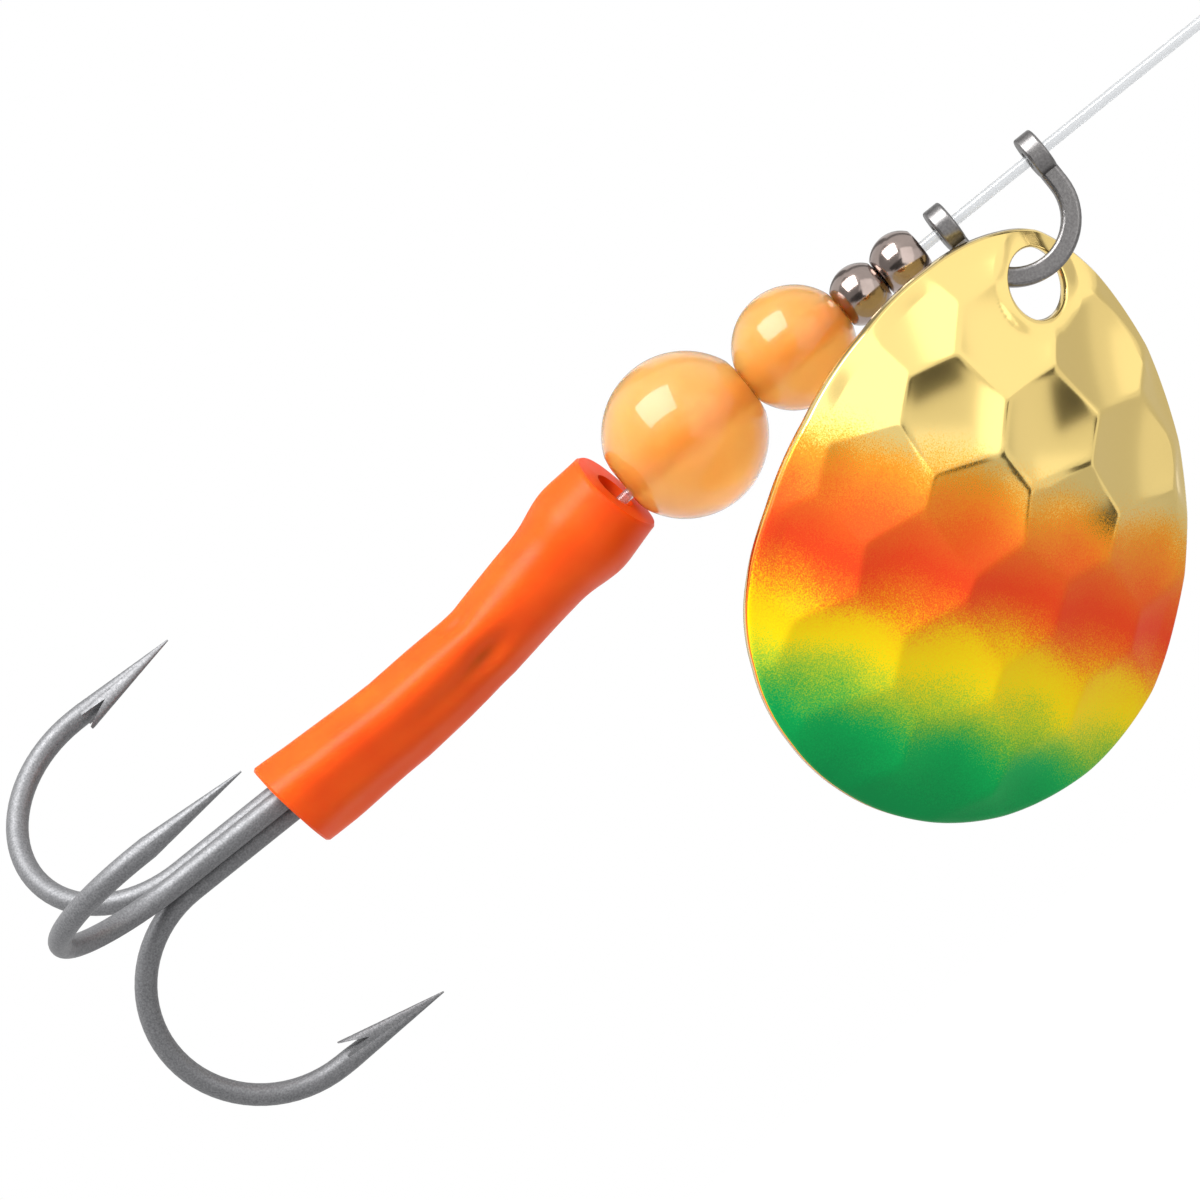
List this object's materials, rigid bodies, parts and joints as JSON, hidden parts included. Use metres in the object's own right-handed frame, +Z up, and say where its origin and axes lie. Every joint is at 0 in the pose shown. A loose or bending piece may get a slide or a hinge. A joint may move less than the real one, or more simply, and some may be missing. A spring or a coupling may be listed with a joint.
{
  "type": "inline spinner",
  "caption": "Inline spinner: painted, hammered blade on a folded clevis, with glow beads and metal beads on a nylon leader tied to a rubber-sleeved treble hook.",
  "frame": {"origin": "where a snap bears on the far end of the line loop, by which the rig is held", "axes": "+X along the leader towards the rod, +Z up, +Y away from the painted face of the blade"},
  "size_m": [0.0803, 0.0213, 0.0333],
  "materials": {
    "nylon": "clear nylon monofilament",
    "glow_bead": "milky translucent glow plastic",
    "dark_metal": "polished black nickel",
    "clevis_steel": "tumbled black nickel",
    "painted_brass": "hammered gold plate with sprayed orange, yellow and green bands",
    "orange_rubber": "glossy soft vinyl",
    "hook_steel": "tinned, slightly grained"
  },
  "bodies": {
    "leader": {"leader": "nylon", "hook_knot": "nylon", "loop_knot": "nylon", "line_loop": "nylon"},
    "hook": {"hook_sleeve": "orange_rubber", "double_hook": "hook_steel", "single_hook": "hook_steel"},
    "large_bead": {"large_glow_bead": "glow_bead"},
    "small_bead": {"small_glow_bead": "glow_bead"},
    "lower_bead": {"lower_metal_bead": "dark_metal"},
    "upper_bead": {"upper_metal_bead": "dark_metal"},
    "clevis": {"clevis": "clevis_steel"},
    "blade": {"blade": "painted_brass"}
  },
  "joints": [
    {"name": "hook_swing", "type": "hinge", "parent": "leader", "child": "hook", "pos_m": [-0.05743, 0, -0.00168], "axis": [0, -0.9848, 0.1736], "range_deg": [-20, 20], "stiffness_Nm_per_rad": 0.004, "deforming": ["hook_sleeve"]},
    {"name": "bead_slide", "type": "slide", "parent": "leader", "child": "large_bead", "axis": [1, 0, 0], "range_m": [-0.00005, 0.0098]},
    {"name": "small_bead_spin", "type": "hinge", "parent": "large_bead", "child": "small_bead", "pos_m": [-0.03539, 0, 0], "axis": [1, 0, 0], "continuous": true},
    {"name": "lower_bead_spin", "type": "hinge", "parent": "small_bead", "child": "lower_bead", "pos_m": [-0.03133, 0, 0], "axis": [1, 0, 0], "continuous": true},
    {"name": "upper_bead_spin", "type": "hinge", "parent": "lower_bead", "child": "upper_bead", "pos_m": [-0.0289, 0, 0], "axis": [1, 0, 0], "continuous": true},
    {"name": "clevis_spin", "type": "hinge", "parent": "upper_bead", "child": "clevis", "pos_m": [-0.02345, 0, 0], "axis": [1, 0, 0], "continuous": true},
    {"name": "blade_swing", "type": "hinge", "parent": "clevis", "child": "blade", "pos_m": [-0.02345, 0, -0.00175], "axis": [0, -1, 0], "range_deg": [-22, 70]}
  ]
}
